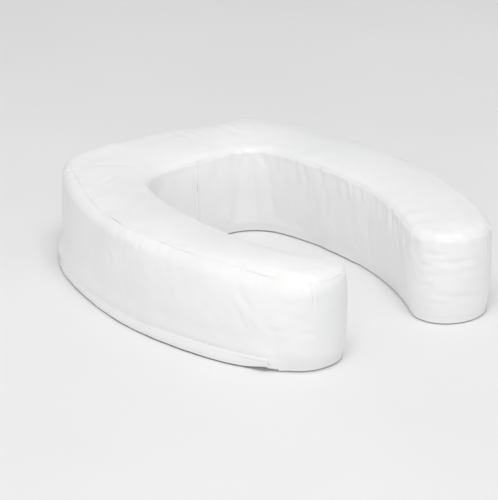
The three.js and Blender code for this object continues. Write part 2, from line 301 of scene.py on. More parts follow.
# How far the foot of the wall tucks under.
foot_tuck = round_outline(
    [(0, 1.4), (170, 1.4), (175, 0), (225, 0), (230, 1.4), (425, 1.6), (450, 4.5), (500, 6.0)]
    + [(509, 2.0), (525, 1.4), (860, 1.4), (900, 3.4), (930, 1.4), (1892, 1.4), (1897, 0)]
    + [(1947, 0), (1952, 1.4), (2000, 1.4)],
    3.0,
)
# Where the top seam runs, up the section from the middle of the rounded edge.
seam_rise = round_outline(
    [(0, -3), (373, -3), (440, -2), (500, 0), (520, 2), (575, 3.5), (630, 5), (690, 8), (740, 9.5)]
    + [(800, 11.5), (890, 12.2), (925, 7), (960, 0), (1000, -3), (1600, -3), (2100, -3)],
    8.0,
)
# How open the top seam's groove is.
seam_depth = round_outline(
    [(0, 0.12), (440, 0.05), (505, 0.05), (520, 0.5), (635, 0.55), (655, 0.2), (685, 0.25)]
    + [(700, 0.6), (930, 0.65), (960, 0.2), (1600, 0.15), (1760, 0.1), (2100, 0.12)],
    6.0,
)
PLAIN_TUCK = 1.4
RING_INSET = 28.0


def section(s, lengths):
    """Offset, height and the two parts of the normal at a distance s up the section."""
    s, radius = np.asarray(s, float), edge_radius(lengths)
    wall = HEIGHT - radius - SEAM_Z
    turn = np.clip((s - wall) / radius, 0, math.pi / 2)
    past = np.maximum(s - wall - radius * math.pi / 2, 0)
    offset = -radius * (1 - np.cos(turn)) - past
    height = SEAM_Z + np.minimum(s, wall) + radius * np.sin(turn)
    return offset, height, np.cos(turn), np.sin(turn)


def ring_end(lengths):
    """The distance up the section at which the top's inner filling starts."""
    radius = edge_radius(lengths)
    return HEIGHT - SEAM_Z - 2 * radius + radius * math.pi / 2 + RING_INSET


SEAM_SWAY = 0.4
SEAM_SWAYS = 23


def seam_place(lengths):
    """The distance up the section at which the top seam runs, with a slight sway."""
    radius = edge_radius(lengths)
    middle = HEIGHT - SEAM_Z - radius + radius * math.pi / 4
    sway = SEAM_SWAY * np.sin(lengths * 2 * math.pi * SEAM_SWAYS / TOTAL)
    return middle + seam_rise(lengths) + sway


def wander(lengths, heights, scale, seed):
    """Smooth noise over a grid of places, about -1 to 1."""
    out = np.empty(len(lengths))
    for i, (a, b) in enumerate(zip(lengths, heights)):
        out[i] = noise.noise(Vector((a / scale[0], b / scale[1], seed)))
    return out * 1.6


CREASE_SHARE = 0.58
CREASE_SPREAD = 1.3


def crease(u, v, line):
    """A fold between two places: a narrow valley with soft lifted sides, fading at both ends."""
    u1, v1, u2, v2, width, depth = line
    du, dv = u2 - u1, v2 - v1
    span = math.hypot(du, dv)
    t = ((u - u1) * du + (v - v1) * dv) / (span * span)
    across = ((u - u1) * dv - (v - v1) * du) / span
    taper = plateau(t, -0.08, 0.3, 0.65, 1.08)
    width = CREASE_SPREAD * width
    shape = -bump(across, width) + 0.55 * bump(across - 2.1 * width, 1.3 * width)
    shape += 0.35 * bump(across + 2.2 * width, 1.5 * width)
    return CREASE_SHARE * depth * taper * shape


# Creases on the walls: length and height of both ends, width, depth, in millimetres.
WALL_CREASES = [
    (2066, 101, 2068, 87, 2.2, 1.2), (2057, 99, 2055, 84, 2.0, 1.0),
    (2038, 98, 2035, 79, 2.4, 1.2), (2022, 97, 2019, 74, 2.2, 1.1), (1996, 96, 1988, 58, 3.0, 1.3),
    (1982, 95, 1972, 68, 2.6, 1.0), (1955, 97, 1949, 76, 2.6, 0.9), (1930, 98, 1925, 74, 2.6, 1.1),
    (1912, 96, 1905, 70, 2.4, 1.3), (1901, 97, 1896, 76, 1.8, 1.1), (1886, 96, 1881, 76, 2.2, 1.3),
    (1874, 96, 1869, 82, 1.8, 1.1), (1857, 95, 1849, 72, 2.4, 1.3), (1839, 94, 1832, 73, 2.4, 1.3),
    (1813, 94, 1799, 70, 2.8, 1.4), (1794, 90, 1771, 60, 2.8, 1.3), (1766, 92, 1740, 60, 3.0, 1.2),
    (492, 62, 481, 61, 1.6, 0.8), (519, 45, 500, 48, 1.9, 1.1), (487, 46, 469, 44, 1.8, 1.0),
    (507, 20, 489, 22, 1.8, 0.8), (515, 15, 484, 18, 2.2, 1.0), (560, 84, 546, 65, 2.4, 0.9),
    (549, 77, 539, 60, 2.0, 0.8), (557, 60, 543, 40, 2.4, 0.9), (543, 56, 533, 42, 2.0, 0.8),
    (565, 71, 553, 54, 2.2, 0.7), (744, 75, 734, 60, 2.4, 1.0), (717, 98, 713, 84, 2.2, 1.2),
    (727, 98, 731, 86, 2.0, 0.8), (690, 97, 696, 80, 2.4, 0.8), (1726, 81, 1694, 79, 2.0, 1.2),
    (1718, 73, 1662, 70, 2.2, 1.3), (1727, 53, 1703, 59, 2.0, 1.0), (1714, 36, 1656, 28, 2.4, 1.3),
    (1722, 25, 1687, 25, 2.0, 1.0), (1726, 68, 1706, 65, 1.8, 0.9), (1726, 43, 1712, 47, 1.8, 0.9),
    (1690, 60, 1650, 58, 2.6, 0.8), (1636, 101, 1634, 84, 1.9, 2.0), (912, 101, 908, 84, 2.0, 1.3),
    (919, 101, 918, 88, 1.8, 1.1), (1030, 98, 1026, 76, 2.8, 0.9), (1120, 97, 1127, 72, 2.8, 0.9),
    (1205, 98, 1199, 74, 2.6, 1.0), (1330, 97, 1322, 72, 2.8, 0.9), (1452, 96, 1461, 70, 2.8, 0.9),
    (1540, 97, 1531, 70, 2.6, 1.0), (60, 98, 52, 74, 2.4, 1.1), (84, 98, 90, 76, 2.4, 1.0),
    (150, 97, 158, 74, 2.4, 0.9), (240, 97, 232, 72, 2.6, 1.0), (345, 96, 356, 70, 2.6, 1.1),
]
# Creases on the top: x and y of both ends, width, depth.
TOP_CREASES = [
    (31, 218, 27, 172, 3.4, 1.0), (45, 197, 46, 162, 3.0, 0.9), (82, 198, 80, 143, 3.6, 1.2),
    (125, 190, 104, 140, 3.6, 1.1), (99, 195, 94, 155, 3.0, 0.8), (40, 212, 44, 179, 2.6, 0.7),
    (-114, 181, -66, 146, 3.4, 0.9), (-142, 119, -98, 140, 3.2, 0.9),
    (-160, 40, -118, 80, 3.4, 0.9), (-132, 126, -113, 131, 2.4, 0.7),
    (-50, 175, -52, 148, 2.8, 0.7), (128, -120, 160, -96, 3.8, 0.7),
]

# Where the top seam puckers the cloth: length, half reach, strength.
GATHERS = [
    (2060, 70.0, 0.8),
    (1850, 130.0, 0.8),
    (1760, 50.0, 0.8),
    (240, 150.0, 0.8),
    (715, 45.0, 0.7),
    (560, 50.0, 0.3),
    (915, 50.0, 0.8),
    (1050, 90.0, 0.6),
    (1200, 60.0, 0.4),
    (1640, 50.0, 0.8),
    (440, 50.0, 0.5),
]


LEAST_GATHER, MOST_GATHER = 0.15, 1.3


def gather_strength(lengths):
    """How strongly the top seam gathers the cloth."""
    total = np.full(len(lengths), LEAST_GATHER)
    for place, reach, strength in GATHERS:
        total += strength * bump(around(lengths, place), reach)
    return np.minimum(total, MOST_GATHER)


def pinch(lengths, seed):
    """Uneven small tucks along a seam."""
    values = wander(lengths, np.zeros(len(lengths)), (10.5, 1.0), seed)
    values += 0.4 * wander(lengths, np.zeros(len(lengths)), (6.4, 1.0), seed + 9)
    return np.abs(values) ** 0.8 * np.sign(values)


WALL_BELLY = 2.2
ZIP_BELLY = 2.2
ZIP_HOLLOW = 0.6
SEAM_GROOVE = 1.3
PUCKER_BELOW, PUCKER_ABOVE = 1.15, 0.22


def wall_relief(lengths, s, seam):
    """How far the skin stands off the plain section."""
    offset, z, _, up = section(s, lengths)
    over = smooth(up, 0.1, 1.0)
    below = seam - s
    near = np.abs(below)
    tuck = foot_tuck(lengths)
    relief = WALL_BELLY * np.sin(np.clip((z - 2) / 104, 0, 1) * math.pi) * (1 - over)
    relief -= tuck * (1 - smooth(z, 4, 9 + 2 * tuck))
    relief += crown(-offset) * over
    # The wall is full and calm where it hangs over the zip.
    along_zip = plateau(lengths, ZIP_START, ZIP_START + 12, ZIP_END - 12, ZIP_END)
    over_zip = along_zip * (1 - smooth(z, 16, 34))
    relief += ZIP_BELLY * over_zip
    relief -= ZIP_HOLLOW * along_zip * (1 - smooth(lengths, 620, 730)) * bump(z - 15.6, 1.2)
    calm = (1 - 0.85 * over_zip) * (0.1 + 0.9 * smooth(z, 3, 16))
    # The top seam: a groove between two soft welts, with puckers running from it.
    depth = seam_depth(lengths)
    relief -= SEAM_GROOVE * depth * bump(below, 0.9)
    relief += depth * (0.55 * bump(below - 2.6, 1.6) + 0.35 * bump(below + 2.4, 1.4))
    tucks = gather_strength(lengths)
    down = np.exp(-np.maximum(below, 0) / 17.0) * smooth(near, 0.2, 3.5)
    rise = np.exp(-np.maximum(-below, 0) / 8.0) * smooth(near, 0.2, 3.0)
    pucker = np.where(below > 0, PUCKER_BELOW * down, PUCKER_ABOVE * rise)
    relief += pucker * tucks * pinch(lengths + 0.3 * below, 3.1)
    # Broad, middling and fine unevenness of the cloth.
    relief += 0.8 * calm * wander(lengths, z, (58.0, 46.0), 11.3)
    slanted = wander(lengths + 0.6 * z, z, (19.0, 46.0), 5.7)
    relief += 0.34 * calm * slanted * (0.5 + 0.5 * tucks)
    relief += 0.22 * calm * wander(lengths - 0.8 * z, z, (11.0, 20.0), 15.2)
    for line in WALL_CREASES:
        middle = (line[0] + line[2]) / 2
        reach = abs(line[2] - line[0]) / 2 + 7 * line[4] + 4
        here = np.abs(around(lengths, middle)) < reach
        if here.any():
            u = middle + around(lengths[here], middle)
            relief[here] += crease(u, z[here], line)
    return relief


CROWN_RISE, CROWN_SINK = 2.6, 0.6


def crown(inset):
    """The soft rise of the top from its edges to the middle of the arm."""
    depth = np.clip(inset / (ARM_WIDTH / 2), 0, 1)
    return CROWN_RISE * (1 - (1 - depth) ** 2) - CROWN_SINK


def top_relief(x, y):
    """Unevenness and creases of the top face."""
    relief = 0.5 * wander(x, y, (55.0, 55.0), 21.9) + 0.22 * wander(x, y, (19.0, 26.0), 4.4)
    for line in TOP_CREASES:
        relief += crease(x, y, line)
    return relief


# ---- meshes ----
def mesh_object(name, points, faces, smooth_faces=True):
    mesh = bpy.data.meshes.new(name)
    mesh.from_pydata([tuple(p) for p in np.asarray(points) * MM], [], [tuple(f) for f in faces])
    mesh.validate()
    if smooth_faces:
        mesh.polygons.foreach_set("use_smooth", [True] * len(mesh.polygons))
    obj = bpy.data.objects.new(name, mesh)
    scene.collection.objects.link(obj)
    return obj


def grid_faces(rows, columns, wrap=False, flip=False):
    """Quads of a grid stored row by row."""
    across = columns if wrap else columns - 1
    faces = []
    for i in range(rows - 1):
        for j in range(across):
            k = (j + 1) % columns
            quad = (i * columns + j, i * columns + k, (i + 1) * columns + k, (i + 1) * columns + j)
            faces.append(quad[::-1] if flip else quad)
    return faces


def tube_faces(first, rings, sides, flip=False):
    """Quads round a tube whose rings are stored one after another, with a cap on each end."""
    faces = grid_faces(rings, sides, wrap=True, flip=flip)
    last = (rings - 1) * sides
    start, end = tuple(range(sides)), tuple(range(last, last + sides))
    faces += [start, end[::-1]] if flip else [start[::-1], end]
    return [tuple(first + i for i in face) for face in faces]


def facing_out(obj):
    """Turns every face of a closed mesh to the outside."""
    bm = bmesh.new()
    bm.from_mesh(obj.data)
    bmesh.ops.recalc_face_normals(bm, faces=bm.faces)
    bm.to_mesh(obj.data)
    bm.free()
    return obj


def beside(lengths, reach, height):
    """Places at outline lengths, moved out by reach and set at a height."""
    points, normals = outline(lengths)
    return np.column_stack([points + normals * reach[:, None], height])


def baked(obj):
    """Applies the object's modifiers to its mesh."""
    bpy.context.view_layer.update()
    graph = bpy.context.evaluated_depsgraph_get()
    mesh = bpy.data.meshes.new_from_object(obj.evaluated_get(graph))
    obj.modifiers.clear()
    old = obj.data
    obj.data = mesh
    bpy.data.meshes.remove(old)
    return obj


SHARP_RIM = math.radians(50)


def thickened(obj, inward_mm):
    """Gives a surface a thickness inwards, with crisp rims."""
    modifier = obj.modifiers.new("skin", "SOLIDIFY")
    modifier.thickness = inward_mm * MM
    modifier.offset = -1
    modifier.use_even_offset = False
    baked(obj)
    obj.data.set_sharp_from_angle(angle=SHARP_RIM)
    return obj


CLOSE_UP = [0, 0.5, 1.1, 1.9, 3.0, 4.4]


def columns_between(low, high, step, extra):
    """Lengths from low to high, closer together at both ends, with extra places put in."""
    span = high - low
    ends = np.array(CLOSE_UP)
    count = max(2, round((span - 12) / step))
    middle = np.linspace(6.2, span - 6.2, count)
    places = np.concatenate([ends, middle, (span - ends)[::-1]]) + low
    for place in extra:
        if low < place < high:
            places = places[np.abs(places - place) > 0.5]
            places = np.append(places, place)
    return np.sort(places)


CHANNEL_HALF = 20.5
CHANNEL_EDGES = [side * (CHANNEL_HALF + d) for side in (-1, 1) for d in (-0.5, 0.5)]


def in_channel_width(y):
    """1 between the sides of a strap channel, 0 outside them."""
    return 1 - smooth(np.abs(y), CHANNEL_HALF - 0.5, CHANNEL_HALF + 0.5)


def channel_places():
    """Lengths where the outline of the arms crosses the sides of the strap channels."""
    found = []
    for i in range(len(FINE)):
        a, b = FINE_POINTS[i], FINE_POINTS[(i + 1) % len(FINE)]
        for y in CHANNEL_EDGES:
            if (a[1] - y) * (b[1] - y) < 0:
                found.append(FINE[i] + (y - a[1]) / (b[1] - a[1]) * TOTAL / len(FINE))
    return found


COLUMN_STEP = 2.4
EXTRA = channel_places()
SLIT_STEP = 0.6
EXTRA += [place + d for place in (ZIP_START, ZIP_END) for d in (-SLIT_STEP, 0, SLIT_STEP)]
BANDS = {
    "cover_inner_band_left": (0.0, LEFT_TIP_SEAM),
    "cover_outer_band": (LEFT_TIP_SEAM, RIGHT_TIP_SEAM),
    "cover_inner_band_right": (RIGHT_TIP_SEAM, TOTAL),
}
BAND_COLUMNS = {name: columns_between(*ends, COLUMN_STEP, EXTRA) for name, ends in BANDS.items()}
RING_COLUMNS = np.concatenate([columns[:-1] for columns in BAND_COLUMNS.values()])

band_rows = CLOSE_UP + list(np.linspace(6.4, 93.0, 38))
band_rows += [94.6, 96.0, 97.2, 98.1, 98.8, 99.3, 99.7, 100.0]
BAND_ROWS = np.array(band_rows) / 100.0
RING_ROWS = np.array([0, 0.4, 0.9, 1.6, 2.5, 3.8, 5.4, 7.2, 9.4, 11.8, 14.4])


def lean_share(height):
    """How much of its lean a wall has at a height."""
    return np.clip((height - 18) / (HEIGHT - 18), 0, 1) ** 1.3


def wall_shift(lengths, height):
    """How far the walls stand outside the plain plan at a height."""
    return plan_shift(lengths) * smooth(height, 8, 40) + wall_lean(lengths) * lean_share(height)


def edge_share(inset):
    """1 at the walls, fading to 0 towards the inside of the ring."""
    return 1 - smooth(inset, 9, RING_INSET)


def placed(lengths, s, relief):
    """Points of the section at outline lengths, moved out by relief."""
    offset, height, out, up = section(s, lengths)
    inner = edge_share(-offset)
    reach = offset + wall_shift(lengths, height) * inner + relief * out
    lift = edge_lift(lengths) * inner * smooth(height, 50, HEIGHT)
    return beside(lengths, reach, height + relief * up + lift)


def vertical_seam(lengths, z):
    """The three upright seams: grooves at the arms' ends, deep near the top, and the well's welt."""
    groove = np.zeros(len(lengths))
    for place in (LEFT_TIP_SEAM, RIGHT_TIP_SEAM):
        d = around(lengths, place)
        pull = 0.04 + 1.1 * smooth(z, 64, 84)
        groove += pull * (-0.6 * bump(d, 1.0) + 0.4 * bump(np.abs(d) - 2.6, 1.5))
    d = around(lengths, 0.0)
    return groove + 0.35 * bump(d, 1.6) - 0.4 * bump(np.abs(d) - 3.0, 1.0)


ZIP_HEM = 13.4
LIP_Z = 1.2
HEM_AT_ENDS = 3.2
CHANNEL_MOUTH_X = 140


def hem_height(lengths):
    """Where the wall stops: over the straps' outer ends, above the zip and at its end slits."""
    plan = outline(lengths)[0]
    mouth = in_channel_width(plan[:, 1]) * (np.abs(plan[:, 0]) > CHANNEL_MOUTH_X)
    lip = LIP_Z + (SEAM_Z - LIP_Z) * mouth
    run = plateau(lengths, ZIP_START + 9, ZIP_START + 24, ZIP_END - 8, ZIP_END - 1)
    ends = plateau(lengths, ZIP_START - SLIT_STEP, ZIP_START, ZIP_END, ZIP_END + SLIT_STEP)
    return lip + (HEM_AT_ENDS - lip) * ends + (ZIP_HEM - HEM_AT_ENDS) * run


def band_surface(columns):
    """A wall piece, from its hem up to the top seam."""
    seam = np.tile(seam_place(columns), len(BAND_ROWS))
    low = np.tile(hem_height(columns) - SEAM_Z, len(BAND_ROWS))
    lengths = np.tile(columns, len(BAND_ROWS))
    s = low + np.repeat(BAND_ROWS, len(columns)) * (seam - low)
    upright = vertical_seam(lengths, section(s, lengths)[1])
    return placed(lengths, s, wall_relief(lengths, s, seam) + upright)


def top_surface():
    """The top panel: rings from the seam inwards, then an even filling."""
    columns = RING_COLUMNS
    seam = seam_place(columns)
    rows = RING_ROWS / RING_ROWS[-1]
    lengths = np.tile(columns, len(rows))
    seams = np.tile(seam, len(rows))
    last = ring_end(lengths)
    s = seams + np.repeat(rows, len(columns)) * (last - seams)
    fade = 1 - smooth(s, last - 7, last)
    offset, _, _, up = section(s, lengths)
    over = smooth(up, 0.1, 1.0)
    plain = crown(-offset) * over
    relief = wall_relief(lengths, s, seams)
    points = placed(lengths, s, plain + (relief - plain) * fade)
    points[:, 2] += top_relief(points[:, 0], points[:, 1]) * over
    ring = points[-len(columns) :]
    inside, faces = filled(ring[:, :2], 2.6)
    z = HEIGHT + crown(nearest_outline(inside)[0]) + top_relief(inside[:, 0], inside[:, 1])
    everything = np.vstack([points, np.column_stack([inside, z])])
    shift = len(points) - len(columns)
    quads = grid_faces(len(rows), len(columns), wrap=True, flip=True)
    return everything, quads + [tuple(i + shift for i in face) for face in faces]


def filled(loop, spacing, more=None):
    """Points inside a closed loop in plan, and triangles that number the loop's points first."""
    xs = np.arange(loop[:, 0].min(), loop[:, 0].max(), spacing)
    ys = np.arange(loop[:, 1].min(), loop[:, 1].max(), spacing * 0.87)
    grid = np.array([(x + (k % 2) * spacing / 2, y) for k, y in enumerate(ys) for x in xs])
    if more is not None:
        close = np.array([np.hypot(*(more - g).T).min() for g in grid])
        grid = np.vstack([more, grid[close > spacing * 0.45]])
    depth, _ = nearest_outline(grid)
    limit = nearest_outline(loop)[0].mean()
    grid = grid[depth > limit + spacing * 0.55]
    points = [Vector(p) for p in np.vstack([loop, grid])]
    result = delaunay_2d_cdt(points, [], [list(range(len(loop)))], 1, 1e-5)
    origin = [source[0] for source in result[3]]
    faces = []
    for face in result[2]:
        a, b, c = (origin[i] for i in face)
        pa, pb, pc = points[a], points[b], points[c]
        turn = (pb.x - pa.x) * (pc.y - pa.y) - (pb.y - pa.y) * (pc.x - pa.x)
        faces.append((a, b, c) if turn > 0 else (a, c, b))
    return grid, faces


# ---- materials ----
def linear(value):
    """A screen grey or colour channel as light."""
    return value / 12.92 if value <= 0.04045 else ((value + 0.055) / 1.055) ** 2.4


def colour(red, green, blue):
    return (linear(red), linear(green), linear(blue), 1.0)


PALE = colour(0.93, 0.93, 0.92)


class Nodes:
    """A small helper that builds one Principled material."""

    def __init__(self, name, roughness):
        self.material = bpy.data.materials.new(name)
        self.material.use_nodes = True
        self.tree = self.material.node_tree
        self.shader = self.tree.nodes["Principled BSDF"]
        self.shader.inputs["Roughness"].default_value = roughness
        self.place = self.add("ShaderNodeTexCoord").outputs["Object"]

    def add(self, kind, **settings):
        node = self.tree.nodes.new(kind)
        for key, value in settings.items():
            if key in node.inputs:
                node.inputs[key].default_value = value
            else:
                setattr(node, key, value)
        return node

    def link(self, a, b):
        self.tree.links.new(a, b)

    def set(self, **settings):
        for key, value in settings.items():
            self.shader.inputs[key.replace("_", " ")].default_value = value

    def noise(self, scale, detail=2.0, rough=0.5):
        node = self.add("ShaderNodeTexNoise", Scale=scale, Detail=detail, Roughness=rough)
        self.link(self.place, node.inputs["Vector"])
        return node.outputs["Fac"]

    def cells(self, scale):
        node = self.add("ShaderNodeTexVoronoi", Scale=scale, feature="DISTANCE_TO_EDGE")
        self.link(self.place, node.inputs["Vector"])
        return node.outputs["Distance"]

    def spread(self, value, low, high, to_low, to_high):
        node = self.add("ShaderNodeMapRange")
        self.link(value, node.inputs["Value"])
        ends = {"From Min": low, "From Max": high, "To Min": to_low, "To Max": to_high}
        for key, number in ends.items():
            node.inputs[key].default_value = number
        return node.outputs["Result"]

    def sum(self, *terms):
        total = None
        for value, weight in terms:
            node = self.add("ShaderNodeMath", operation="MULTIPLY_ADD")
            self.link(value, node.inputs[0])
            node.inputs[1].default_value = weight
            if total is None:
                node.inputs[2].default_value = 0.0
            else:
                self.link(total, node.inputs[2])
            total = node.outputs[0]
        return total

    def tint(self, value, dark, light, low=0.3, high=0.7):
        node = self.add("ShaderNodeMix", data_type="RGBA")
        self.link(self.spread(value, low, high, 0, 1), node.inputs["Factor"])
        node.inputs["A"].default_value = dark
        node.inputs["B"].default_value = light
        self.link(node.outputs["Result"], self.shader.inputs["Base Color"])

    def bump(self, height, strength, distance):
        node = self.add("ShaderNodeBump", Strength=strength, Distance=distance)
        self.link(height, node.inputs["Height"])
        self.link(node.outputs["Normal"], self.shader.inputs["Normal"])

    def roughness(self, value, low, high):
        self.link(self.spread(value, 0.3, 0.7, low, high), self.shader.inputs["Roughness"])

    def wave(self, scale, direction):
        node = self.add("ShaderNodeTexWave", Scale=scale, bands_direction=direction)
        self.link(self.place, node.inputs["Vector"])
        return node.outputs["Fac"]


def vinyl_material():
    m = Nodes("white_vinyl", 0.4)
    m.tint(m.noise(9.0, 3.0), colour(0.935, 0.937, 0.938), colour(0.965, 0.965, 0.963))
    m.roughness(m.noise(70.0, 3.0), 0.36, 0.47)
    grain = m.sum((m.cells(1050.0), 1.0), (m.noise(420.0, 4.0), 0.8))
    m.bump(grain, 0.22, 0.0002)
    m.set(Coat_Weight=0.06, Coat_Roughness=0.3)
    return m.material


def base_cloth_material():
    m = Nodes("base_cloth", 0.8)
    weave = m.sum((m.wave(260.0, "X"), 0.5), (m.wave(260.0, "Y"), 0.5))
    dots = m.add("ShaderNodeTexVoronoi", Scale=210.0, Randomness=0.0)
    m.link(m.place, dots.inputs["Vector"])
    dot = m.spread(dots.outputs["Distance"], 0.22, 0.3, 1.0, 0.0)
    shade = m.sum((weave, 0.25), (dot, 0.6))
    m.tint(shade, colour(0.83, 0.83, 0.82), colour(0.92, 0.92, 0.91), 0.0, 0.8)
    m.bump(m.sum((weave, 0.25), (dot, 1.0)), 0.6, 0.0004)
    return m.material


def foam_material(name, tint):
    m = Nodes(name, 0.95)
    pores = m.sum((m.cells(900.0), 1.0), (m.cells(380.0), 0.6))
    shade = tuple(0.8 * value for value in tint[:3]) + (1.0,)
    m.tint(m.sum((pores, 1.0)), shade, tint, 0.0, 0.4)
    m.bump(pores, 0.8, 0.0008)
    m.set(Sheen_Weight=0.2)
    return m.material


def woven_material(name, low, high, scale):
    m = Nodes(name, 0.78)
    ribs = m.sum((m.wave(scale, "X"), 0.4), (m.wave(scale, "Y"), 0.4), (m.wave(scale, "Z"), 0.4))
    m.tint(m.sum((ribs, 0.7), (m.noise(900.0), 0.4)), low, high, 0.2, 1.0)
    m.bump(m.sum((ribs, 1.0), (m.noise(1800.0), 0.3)), 0.5, 0.0003)
    m.set(Sheen_Weight=0.25, Sheen_Roughness=0.5)
    return m.material


def plastic_material():
    m = Nodes("zip_plastic", 0.35)
    m.tint(m.noise(300.0), colour(0.89, 0.89, 0.88), PALE)
    m.roughness(m.noise(500.0, 3.0), 0.28, 0.42)
    m.bump(m.noise(1500.0), 0.08, 0.0001)
    return m.material


def thread_material():
    m = Nodes("thread", 0.6)
    m.tint(m.noise(1500.0), colour(0.86, 0.86, 0.85), colour(0.95, 0.95, 0.94))
    m.bump(m.wave(2600.0, "DIAGONAL"), 0.4, 0.0001)
    return m.material


def pile_material(name, low, high):
    m = Nodes(name, 0.9)
    fibres = m.sum((m.noise(2400.0, 4.0), 1.0), (m.cells(1300.0), 0.6))
    m.tint(fibres, low, high, 0.3, 1.1)
    m.bump(fibres, 0.9, 0.0006)
    m.set(Sheen_Weight=0.4)
    return m.material


def floor_material():
    m = Nodes("floor", 0.75)
    m.tint(m.noise(3.0, 4.0), colour(0.93, 0.93, 0.93), colour(0.945, 0.945, 0.945))
    m.bump(m.noise(220.0), 0.05, 0.0003)
    return m.material


MATERIALS = {
    "vinyl": vinyl_material(),
    "base_cloth": base_cloth_material(),
    "firm_foam": foam_material("firm_foam", colour(0.86, 0.83, 0.72)),
    "soft_foam": foam_material("soft_foam", colour(0.93, 0.90, 0.80)),
    "zip_plastic": plastic_material(),
    "zip_tape": woven_material("zip_tape", colour(0.84, 0.84, 0.83), PALE, 500.0),
    "webbing": woven_material("webbing", colour(0.83, 0.83, 0.82), PALE, 330.0),
    "hook_tape": pile_material("hook_tape", colour(0.74, 0.74, 0.73), colour(0.9, 0.9, 0.89)),
    "loop_tape": pile_material("loop_tape", colour(0.8, 0.8, 0.79), PALE),
    "thread": thread_material(),
}


def finished(obj, body, slot, node=None, material=None):
    """Gives a piece its material, hides the CAD node that it stands for and attaches it to its body.
    """
    obj.data.materials.clear()
    obj.data.materials.append(MATERIALS[material or slot])
    if node:
        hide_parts(node)
    if body:
        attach(obj, body)
    return obj


# ---- give of the stuffed cover, from a cloth simulation of the whole cushion ----
def slab_mesh(name, rows, spacing, under=None):
    """A closed solid with the outline's plan. Rows run from the underside out, up and in again, as
    pairs of an offset and a height, and either may vary along the outline."""
    columns = np.linspace(0, TOTAL, round(TOTAL / spacing), endpoint=False)
    level = np.ones(len(columns))
    layers = []
    for row in rows:
        reach, height = (value(columns) if callable(value) else level * value for value in row)
        tuck = (foot_tuck(columns) - PLAIN_TUCK) * (1 - smooth(height, 10, 24))
        reach = reach + (wall_shift(columns, height) - tuck) * edge_share(-reach)
        layers.append(beside(columns, reach, height))
    everything = np.vstack(layers)
    faces = grid_faces(len(rows), len(columns), wrap=True, flip=True)
    for row, flip in ((0, True), (len(rows) - 1, False)):
        loop = layers[row][:, :2]
        inside, triangles = filled(loop, spacing)
        start = len(everything)
        flat = np.full(len(inside), layers[row][:, 2].mean())
        everything = np.vstack([everything, np.column_stack([inside, flat])])
        numbers = list(range(row * len(columns), (row + 1) * len(columns)))
        numbers += range(start, start + len(inside))
        for face in triangles:
            place = tuple(numbers[i] for i in face)
            faces.append(place[::-1] if flip else place)
    if under is not None:
        everything = under(everything)
    return mesh_object(name, everything, faces)


def under_cover(share, skin, past=0.0):
    """A row of an inner solid: a share of the way up the rounded edge, a skin's depth inside it."""

    def place(columns, part):
        radius = edge_radius(columns)
        s = HEIGHT - radius - SEAM_Z + radius * math.pi / 2 * share + past
        offset, height, out, up = section(s, columns)
        return offset - skin * out if part == 0 else height - skin * up

    return (lambda columns: place(columns, 0), lambda columns: place(columns, 1))


SIM_CAP = 3.2
SIM_VOXEL = 5.5
SIM_FRAMES = 20
SIM_SKIN = 0.9
SIM_CLOTH = {
    "quality": 6,
    "mass": 0.25,
    "tension_stiffness": 18,
    "compression_stiffness": 12,
    "shear_stiffness": 6,
    "bending_stiffness": 0.6,
    "use_pressure": True,
    "uniform_pressure_force": 4.0,
}


def cushion_give():
    """How the stuffed cover swells between its seams: a lookup from a place to a shift, in mm."""
    rows = [(-16, 1.0), (-6, 1.0), (-2.6, 2.4), (-1.4, 5.0)]
    rows += [(-SIM_SKIN, z) for z in (12, 24, 40, 56, 70)]
    rows += [under_cover(share, SIM_SKIN) for share in (0.0, 0.25, 0.5, 0.75, 1.0)]
    rows.append(under_cover(1.0, SIM_SKIN, 8.0))
    blank = slab_mesh("blank", rows, 6.0)
    remesh = blank.modifiers.new("remesh", "REMESH")
    remesh.mode = "VOXEL"
    remesh.voxel_size = SIM_VOXEL * MM
    baked(blank)
    start = np.array([v.co for v in blank.data.vertices]) / MM
    inset, where = nearest_outline(start[:, :2])
    offset, z, _, _ = section(seam_place(where), where)
    from_seam = np.hypot(inset + offset, start[:, 2] - z)
    pin = blank.vertex_groups.new(name="pin")
    for i, (height, gap) in enumerate(zip(start[:, 2], from_seam)):
        weight = 1.0 if height < 7 else float(0.9 * (1 - smooth(gap, 2.5, 7.0)))
        if weight > 0:
            pin.add([i], weight, "REPLACE")
    cloth = blank.modifiers.new("cloth", "CLOTH")
    for key, value in SIM_CLOTH.items():
        setattr(cloth.settings, key, value)
    cloth.settings.vertex_group_mass = "pin"
    cloth.settings.effector_weights.gravity = 0
    cloth.collision_settings.use_collision = False
    for number in range(1, SIM_FRAMES + 1):
        scene.frame_set(number)
    graph = bpy.context.evaluated_depsgraph_get()
    end = np.array([v.co for v in blank.evaluated_get(graph).data.vertices]) / MM
    shift = end - start
    size = np.linalg.norm(shift, axis=1, keepdims=True) + 1e-9
    shift *= SIM_CAP * np.tanh(size / SIM_CAP) / size
    corners = [Vector(p) for p in start]
    polygons = [tuple(p.vertices) for p in blank.data.polygons]
    tree = BVHTree.FromPolygons(corners, polygons)
    bpy.data.objects.remove(blank)
    scene.frame_set(1)

    def give(points):
        out = np.zeros((len(points), 3))
        for i, point in enumerate(points):
            spot, _, face, _ = tree.find_nearest(Vector(point))
            ring = polygons[face]
            weights = poly_3d_calc([corners[k] for k in ring], spot)
            out[i] = sum(w * shift[k] for w, k in zip(weights, ring))
        return out

    return give


give = cushion_give()


def stuffed(points):
    """Points of the cover after the stuffing has pushed it out."""
    if give is None:
        return points
    ease = smooth(points[:, 2], 6, 20)[:, None]
    return points + ease * give(points)


# ---- the cover ----
VINYL = 1.0
CLOTH = 0.8


def presses(obj):
    """Gives the cover piece its own copy of its mesh."""
    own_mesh(obj)


